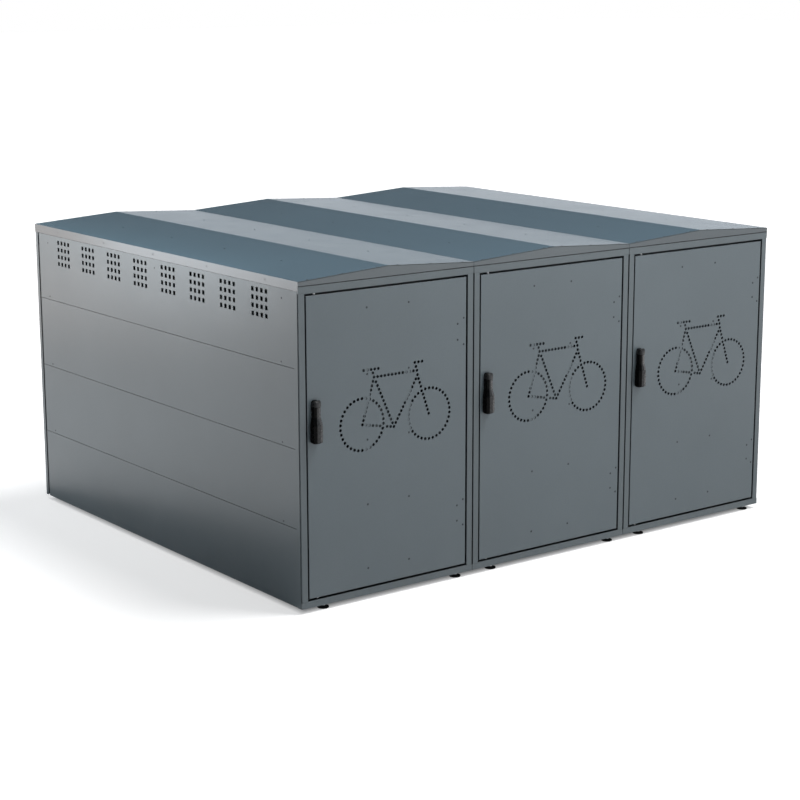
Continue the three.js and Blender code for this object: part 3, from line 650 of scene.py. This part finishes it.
def head_sections():
    """The head round the cross pin, from its foot up to its crown."""
    back, radius = LEVER_BACK, HEAD_RADIUS
    sections = [(-10.2, 13.5, back, -26.4, 5.2), (-9.6, 14, back, -27.1, 5),
                (-4, 14, back, -27.1, 5)]
    for k in range(0, 9):
        angle = math.radians(10 * k)
        swell = radius * math.cos(angle)
        sections.append((radius * math.sin(angle), 14 - 1.6 * (k / 8) ** 2,
                         TILT_Y + swell, TILT_Y - swell, max(0.8, 5 * math.cos(angle))))
    return sections


def handle_lever(number):
    at = (HANDLE_X, 0, HANDLE_Z)
    body = loft([handle_ring(*s) for s in lever_sections()])
    head = loft([handle_ring(*s) for s in head_sections()])
    parts = [(moved(body, number, at), handle_grip), (moved(head, number, at), handle_cap)]
    boss_profile = [(3.4, 0), (3.4, 0.5), (3.0, 0.9), (2.0, 0.9), (1.8, 0.5), (0.4, 0.45)]
    for side in (-1, 1):
        boss = turned(boss_profile, "x", 20)
        if side < 0:
            bmesh.ops.rotate(boss, verts=boss.verts, matrix=Matrix.Rotation(math.pi, 3, "Z"))
        bmesh.ops.translate(boss, verts=boss.verts, vec=(side * BOSS_X, TILT_Y, 0))
        parts.append((moved(boss, number, at), handle_plastic))
    cover_rings = [(7.2, 11, -32.6), (7.2, 11, -33.0), (6.6, 10.4, -33.0), (6.3, 10.1, -32.7),
                   (0.5, 4, -32.7)]
    cover = loft([[(x, y, z) for x, z in rounded(rectangle((-w, w), (-h, h)), w * 0.95, 5)]
                  for w, h, y in cover_rings])
    parts.append((moved(cover, number, (HANDLE_X, 0, HANDLE_Z - COVER_DROP)), handle_cap))
    piece(f"lever_{number}_dressed", parts, f"lever_{number}",
          [f"handle_lever_{number}"], 6.0)


def base_outline(inset):
    """The escutcheon seen from the front, its corners cut, drawn in by an inset."""
    upper, lower, top, end = (reach - inset for reach in
                              (NECK_HALF, GRIP_HALF, BASE_TOP, BASE_FOOT))
    cut = 4
    return [(-lower, cut - end), (cut - lower, -end), (lower - cut, -end), (lower, cut - end),
            (lower, SHOULDER_LOW), (upper, SHOULDER_HIGH), (upper, top - cut), (upper - cut, top),
            (cut - upper, top), (-upper, top - cut), (-upper, SHOULDER_HIGH),
            (-lower, SHOULDER_LOW)]


def handle_base(number):
    at = (HANDLE_X, 0, HANDLE_Z)
    rings = []
    for inset, y in [(1.0, -0.3), (1.0, -2.2), (1.25, -2.6), (1.7, -2.8)]:
        rings.append([(x, y, z) for x, z in rounded(base_outline(inset), 3.0, 3)])
    for inset, y in [(3.4, -2.8), (3.8, -2.4)]:
        rings.append([(x, y, z) for x, z in rounded(base_outline(inset), 2.0, 3)])
    parts = [(moved(loft(rings), number, at), handle_plastic)]
    screw_head = [(3.6, 0.3), (3.6, 0.1), (3.0, -0.3), (1.7, -0.35), (1.6, 0.2), (0.2, 0.2)]
    for z in BASE_SCREWS_Z:
        screw = turned(screw_head, "y", 20)
        bmesh.ops.translate(screw, verts=screw.verts, vec=(0, BASE_SCREW_Y, z))
        parts.append((moved(screw, number, at), zinc))
    piece(f"handle_plate_{number}", parts, f"door_{number}",
          [f"handle_base_{number}"], 30.0)


# Lock inside the door
def box_part(x, y, z, edge=0.4):
    """A box with softened long edges."""
    part = bmesh.new()
    bmesh.ops.create_cube(part, size=1)
    size = Vector((x[1] - x[0], y[1] - y[0], z[1] - z[0]))
    bmesh.ops.scale(part, verts=part.verts, vec=size)
    bmesh.ops.translate(part, verts=part.verts, vec=Vector((x[0], y[0], z[0])) + size / 2)
    bmesh.ops.bevel(part, geom=part.edges[:], offset=edge, segments=2, affect="EDGES", profile=0.6)
    return part


def spindle(number):
    at = (HANDLE_X, 0, HANDLE_Z)
    shapes = [
        (box_part((-4, 4), (TILT_Y, -2.9), (-6, 6)), zinc),
        (turned([(5.8, -4), (6, -3.7), (6, 3.7), (5.8, 4)], "x", 24), zinc),
        (turned([(2.3, -12), (2.5, -11.7), (2.5, 11.7), (2.3, 12)], "x", 16), zinc),
        (turned([(6, -3), (6, 1.9), (8.7, 1.9), (9, 2.2), (9, 5), (18.6, 5), (19, 5.3), (19, 7.7),
                 (18.6, 8), (7.5, 8), (7.4, 7.6), (4.2, 7.6), (4, 8), (3.6, 8.3), (0.2, 8.3)],
                "y", 40), zinc),
    ]
    for index in (1, 2):
        bmesh.ops.translate(shapes[index][0], verts=shapes[index][0].verts, vec=(0, TILT_Y, 0))
    for side in (-1, 1):
        pin = turned([(3, 7.8), (3, 11.9), (2.6, 12.4), (0.2, 12.4)], "y", 18)
        bmesh.ops.translate(pin, verts=pin.verts, vec=(side * CAM_PIN, 0, -side * CAM_PIN))
        shapes.append((pin, zinc))
    parts = [(moved(part, number, at), finish) for part, finish in shapes]
    piece(f"spindle_{number}_dressed", parts, f"spindle_{number}",
          [f"lock_spindle_{number}"], 30.0)


def slot_outline(x, z):
    return rounded(rectangle(x, z), (z[1] - z[0]) / 2 * 0.9, 6)


def rod_piece(number, top):
    """A lock rod: a flat head with a slot that rides on the cam's pin, and a round bar."""
    at = (HANDLE_X, 0, HANDLE_Z)
    pin, half, rim = CAM_PIN, SLOT_HALF, SLOT_RIM
    slot_x = (pin - half, SLOT_END) if top else (-SLOT_END, half - pin)
    slot_z = (-pin - half, half - pin) if top else (pin - half, pin + half)
    if top:
        head = rectangle((slot_x[0] - rim, slot_x[1] + rim), (slot_z[0] - rim, slot_z[1] + rim))
        bar = [slot_z[1] + 0.3, DOORWAY_Z[1] - ROD_TIP_GAP - HANDLE_Z]
    else:
        elbow = -pin - half - rim - 1.3
        reach = ROD_OFFSET + ROD_R + 0.3
        head = [(slot_x[0] - rim, elbow - 11), (reach, elbow - 11), (reach, elbow),
                (slot_x[1] + rim, elbow), (slot_x[1] + rim, slot_z[1] + rim),
                (slot_x[0] - rim, slot_z[1] + rim)]
        bar = [elbow - 0.3, DOORWAY_Z[0] + ROD_TIP_GAP - HANDLE_Z]
    flat = plate(rounded(head, 2.5, 4), [slot_outline(slot_x, slot_z)], ROD_PLATE, ROD_PLATE_Y)
    near, far = bar
    step = 1 if far > near else -1
    rod = turned([(ROD_R - 0.3, near), (ROD_R, near + step * 0.5), (ROD_R, far - step * 1.2),
                  (ROD_R - 1.1, far)], "z", 24)
    bmesh.ops.translate(rod, verts=rod.verts, vec=(ROD_OFFSET, ROD_Y, 0))
    which = "top" if top else "bottom"
    parts = [(moved(flat, number, at), zinc), (moved(rod, number, at), zinc_bar)]
    piece(f"rod_{which}_{number}_dressed", parts, f"rod_{which}_{number}",
          [f"lock_rod_{which}_{number}"], 35.0)


def hinge(number, level):
    """The hinge leaf behind the skin: a stepped plate, two rolled ears and its rivet tails."""
    at = (PIVOT_X, PIVOT_Y, HINGES[level])
    face = LEAF_FACE_Y - PIVOT_Y
    outline = [(7, -60), (7, 60), (-7, 60), (-37, 40), (-37, -40), (-7, -60)]
    parts = [plate(rounded(outline, 5, 4), [], LEAF_SHEET, face)]
    for side in (-1, 1):
        near = side * EAR_Z
        z = sorted((near, near + side * EAR_HEIGHT))
        profile = [(-7, face + 1), (-7, 0)]
        profile += [(7 * math.cos(math.radians(180 - a)), 6 * math.sin(math.radians(a)))
                    for a in range(0, 181, 15)]
        profile += [(7, 0), (7, face + 1)]
        ear = loft([[(x, y, height) for x, y in profile] for height in z])
        parts.append(ear)
    tail_profile = [(3.2, 0), (3.2, 0.9), (2.6, 1.6), (1.0, 1.9), (0.2, 1.9)]
    tail_y = face + LEAF_SHEET - TAIL_SINK
    for x, z in [(x - PIVOT_X, way * dz) for x, dz in LEAF_RIVETS for way in (1, -1)]:
        tail = turned(tail_profile, "y", 16)
        bmesh.ops.translate(tail, verts=tail.verts, vec=(x, tail_y, z))
        parts.append(tail)
    parts = [(moved(part, number, at), zinc) for part in parts]
    piece(f"hinge_{level}_{number}", parts, f"door_{number}",
          [f"hinge_leaf_{level}_{number}"], 32.0)


# Levelling feet
def foot(number, place, x, y):
    """A ribbed rubber pad, a hexagon hub and a threaded stud."""
    pad = [(19.5, 0), (21.2, 0), (22, 0.9), (22, 2.2), (21.4, 2.5), (21.4, 3.1), (22, 3.4),
           (22, 4.2), (21.2, 5), (17.5, 6), (16.8, 5.8), (10.2, 8.4), (9, 8.9), (6, 9)]
    parts = [(turned(pad, "z", 36), foot_rubber)]
    hexagon = [[(a, b, z) for a, b in circle(r, 6)] for r, z in
               [(8.2, 8.8), (8.9, 9.4), (8.9, 18.9), (8.2, 19.6)]]
    parts.append((loft(hexagon), zinc))
    thread = [(4.2, 19)]
    for k in range(THREAD_TURNS):
        low = THREAD_LOW + k * THREAD_RISE / THREAD_TURNS
        thread += [(4.2, low), (4.95, low + 0.75)]
    thread += [(4.2, 33.4), (3.6, 34)]
    parts.append((turned(thread, "z", 20), zinc))
    parts = [(moved(part, number, (x, y, -FOOT_HEIGHT)), finish) for part, finish in parts]
    piece(f"levelling_foot_{place}_{number}", parts, "locker",
          [f"foot_{place}_{number}"], 38.0)


for number in LOCKERS:
    door_skin(number)
    door_rivets(number)
    roof_rivets(number)
    gable_shadow_bead(number)
    handle_lever(number)
    handle_base(number)
    spindle(number)
    for top in (True, False):
        rod_piece(number, top)
    for level in HINGES:
        hinge(number, level)
    for place, x, y in FEET:
        foot(number, place, x, y)
for side in ("left", "right"):
    side_rivets(side)
    fascia_shadow_bead(side)


# Floor, light and camera
def white_floor():
    """A pale floor that glows white to the camera and in gloss, but not under the lockers; the glow
    is dimmed near the row as a painted shadow, and in gloss it is cut out left of the row and
    dimmed in front of the doors as painted shadow in their reflections.
    """
    n = Nodes("studio_floor")
    n.tree.nodes.remove(n.surface)
    diffuse = n.add("ShaderNodeBsdfDiffuse")
    diffuse.inputs["Color"].default_value = (0.7, 0.7, 0.7, 1)
    ray = n.add("ShaderNodeLightPath").outputs
    x, y, _ = n.place()
    side, front, rear = 1.2, 1.0, 1.03
    mask_rear, mask_left, mask_lean = 1.4, 1.872, -0.437
    beside = n.math("MINIMUM", n.math("SUBTRACT", side, x), n.math("ADD", x, side))
    within = n.math("MINIMUM", n.math("SUBTRACT", rear, y), n.math("ADD", y, front))
    nearest = n.math("MINIMUM", beside, within)
    # The camera's glow dims within about a metre of the row: a painted shadow round it.
    seen = n.math("MULTIPLY", n.spread(nearest, 0.0, 0.06, 1.0, 0.0),
                  n.spread(nearest, -1.05, -0.45, 0.8, 0.59))
    # In gloss the glow is cut out to the left of the row and behind it: a painted shadow for the
    # paint to mirror.
    shadow_edge = n.math("MULTIPLY", y, mask_lean)
    beside = n.math("MINIMUM", n.math("SUBTRACT", side, x),
                    n.math("ADD", n.math("ADD", x, mask_left), shadow_edge))
    within = n.math("MINIMUM", n.math("SUBTRACT", mask_rear, y), n.math("ADD", y, front))
    mirrored = n.spread(n.math("MINIMUM", beside, within), 0.0, 0.1, 0.84, 0.0)
    # In gloss the glow is also dimmed in front of the doors: painted shade in their reflection.
    elsewhere = n.math("MAXIMUM", n.spread(y, -1.0, -0.95, 0.0, 1.0),
                       n.spread(x, 2.2, 2.6, 0.0, 1.0))
    in_front = n.math("MAXIMUM", n.spread(y, -4.0, -1.2, 1.0, 0.3), elsewhere)
    mirrored = n.math("MULTIPLY", mirrored, in_front)
    gloss = n.math("MAXIMUM", ray["Is Glossy Ray"], ray["Is Transmission Ray"])
    strength = n.math("ADD", n.math("MULTIPLY", ray["Is Camera Ray"], seen),
                      n.math("MULTIPLY", gloss, mirrored))
    glow = n.add("ShaderNodeEmission")
    n.link(strength, glow.inputs["Strength"])
    both = n.add("ShaderNodeAddShader")
    n.link(diffuse.outputs["BSDF"], both.inputs[0])
    n.link(glow.outputs["Emission"], both.inputs[1])
    n.link(both.outputs["Shader"], n.tree.nodes["Material Output"].inputs["Surface"])
    return n.material


def floor():
    part = bmesh.new()
    reach = 60.0
    part.faces.new([part.verts.new((x * reach, y * reach, 0)) for x, y in
                    ((-1, -1), (1, -1), (1, 1), (-1, 1))])
    mesh = bpy.data.meshes.new("studio_floor")
    part.to_mesh(mesh)
    part.free()
    mesh.materials.append(white_floor())
    thing = bpy.data.objects.new("studio_floor", mesh)
    scene.collection.objects.link(thing)


def world():
    """White to the camera; the paint mirrors a pale horizon and one dim ring, and dark above."""
    studio = bpy.data.worlds.new("studio")
    scene.world = studio
    studio.use_nodes = True
    tree = studio.node_tree
    background = tree.nodes["Background"]

    def height(degrees):
        return (math.sin(math.radians(degrees)) + 1) / 2

    place = tree.nodes.new("ShaderNodeTexCoord")
    split = tree.nodes.new("ShaderNodeSeparateXYZ")
    tree.links.new(place.outputs["Generated"], split.inputs["Vector"])
    level = tree.nodes.new("ShaderNodeMapRange")
    level.inputs["From Min"].default_value = -1.0
    tree.links.new(split.outputs["Z"], level.inputs["Value"])
    ramp = tree.nodes.new("ShaderNodeValToRGB")
    pale, dim, dark = (0.83, 0.88, 0.94), (0.36, 0.465, 0.567), (0.015, 0.015, 0.016)
    stops = [(0.0, pale), (height(4.5), pale), (height(7.5), dark), (height(10.5), dark),
             (height(13.5), dim), (height(16.5), dim), (height(19.5), dark)]
    fill_ramp(ramp, stops)
    tree.links.new(level.outputs["Result"], ramp.inputs["Fac"])
    seen = tree.nodes.new("ShaderNodeLightPath")
    white = tree.nodes.new("ShaderNodeMix")
    white.data_type = "RGBA"
    white.inputs[7].default_value = (1, 1, 1, 1)
    straight = tree.nodes.new("ShaderNodeMath")
    straight.operation = "MAXIMUM"
    tree.links.new(seen.outputs["Is Camera Ray"], straight.inputs[0])
    tree.links.new(seen.outputs["Is Transmission Ray"], straight.inputs[1])
    tree.links.new(straight.outputs["Value"], white.inputs[0])
    tree.links.new(ramp.outputs["Color"], white.inputs[6])
    tree.links.new(white.outputs[2], background.inputs["Color"])


def softbox(name, place, aim, size, power, tint=(1, 1, 1), glare=True):
    lamp = bpy.data.lights.new(name, "AREA")
    lamp.shape = "RECTANGLE"
    lamp.size, lamp.size_y = size
    lamp.energy = power
    lamp.color = tint
    thing = bpy.data.objects.new(name, lamp)
    thing.location = place
    thing.rotation_mode = "QUATERNION"
    thing.rotation_quaternion = (Vector(aim) - Vector(place)).to_track_quat("-Z", "Y")
    thing.visible_glossy = glare
    scene.collection.objects.link(thing)


def sun(name, toward, strength, angle):
    lamp = bpy.data.lights.new(name, "SUN")
    lamp.energy = strength
    lamp.angle = math.radians(angle)
    thing = bpy.data.objects.new(name, lamp)
    thing.rotation_mode = "QUATERNION"
    thing.rotation_quaternion = Vector(toward).to_track_quat("-Z", "Y")
    scene.collection.objects.link(thing)


def camera():
    lens = bpy.data.cameras.new("camera")
    lens.sensor_fit = "HORIZONTAL"
    lens.sensor_width = 36.0
    lens.lens = LENS
    lens.clip_end = 300.0
    thing = bpy.data.objects.new("camera", lens)
    right, up = Vector(CAMERA_RIGHT), Vector(CAMERA_UP)
    back = right.cross(up)
    turn = Matrix((right, up, back)).transposed().to_4x4()
    thing.matrix_world = Matrix.Translation(CAMERA_AT) @ turn
    scene.collection.objects.link(thing)
    scene.camera = thing


floor()
world()
sun("key", (-0.42, 0.25, -1.0), 2.1, 24)
softbox("side_strip", (-1.45, 0.8, 1.42), (-1.2, 0.8, 1.1), (3.0, 0.08), 5.6)
softbox("side_card", (-3.6, 4.2, 0.42), (-1.2, 0.3, 1.0), (3.0, 0.7), 7.6, (1.0, 0.74, 0.58))
softbox("side_rear", (-3.2, 2.6, 1.15), (-1.2, 0.6, 0.9), (1.6, 1.4), 19.0, (0.75, 0.89, 1.0))
softbox("front_low", (1.0, -3.6, 1.0), (0.3, -1.0, 0.8), (3.0, 1.0), 4.5, (0.89, 0.985, 1.0))
softbox("front_right", (2.6, -3.2, 2.2), (0.6, -1.0, 1.0), (1.6, 0.8), 6.0, (1.0, 0.95, 0.91),
        glare=False)
softbox("front_strip", (0.4, -2.2, 1.9), (0.2, -1.0, 1.0), (3.0, 0.3), 9.0, (0.97, 0.98, 1.0),
        glare=False)
softbox("rear_fill", (0.6, 4.6, 0.8), (0.0, 1.0, 0.6), (3.0, 0.6), 30, glare=False)
softbox("right_fill", (4.4, -0.2, 0.8), (1.2, 0.0, 0.6), (2.4, 0.6), 30, glare=False)
camera()
scene.view_settings.view_transform = "Standard"
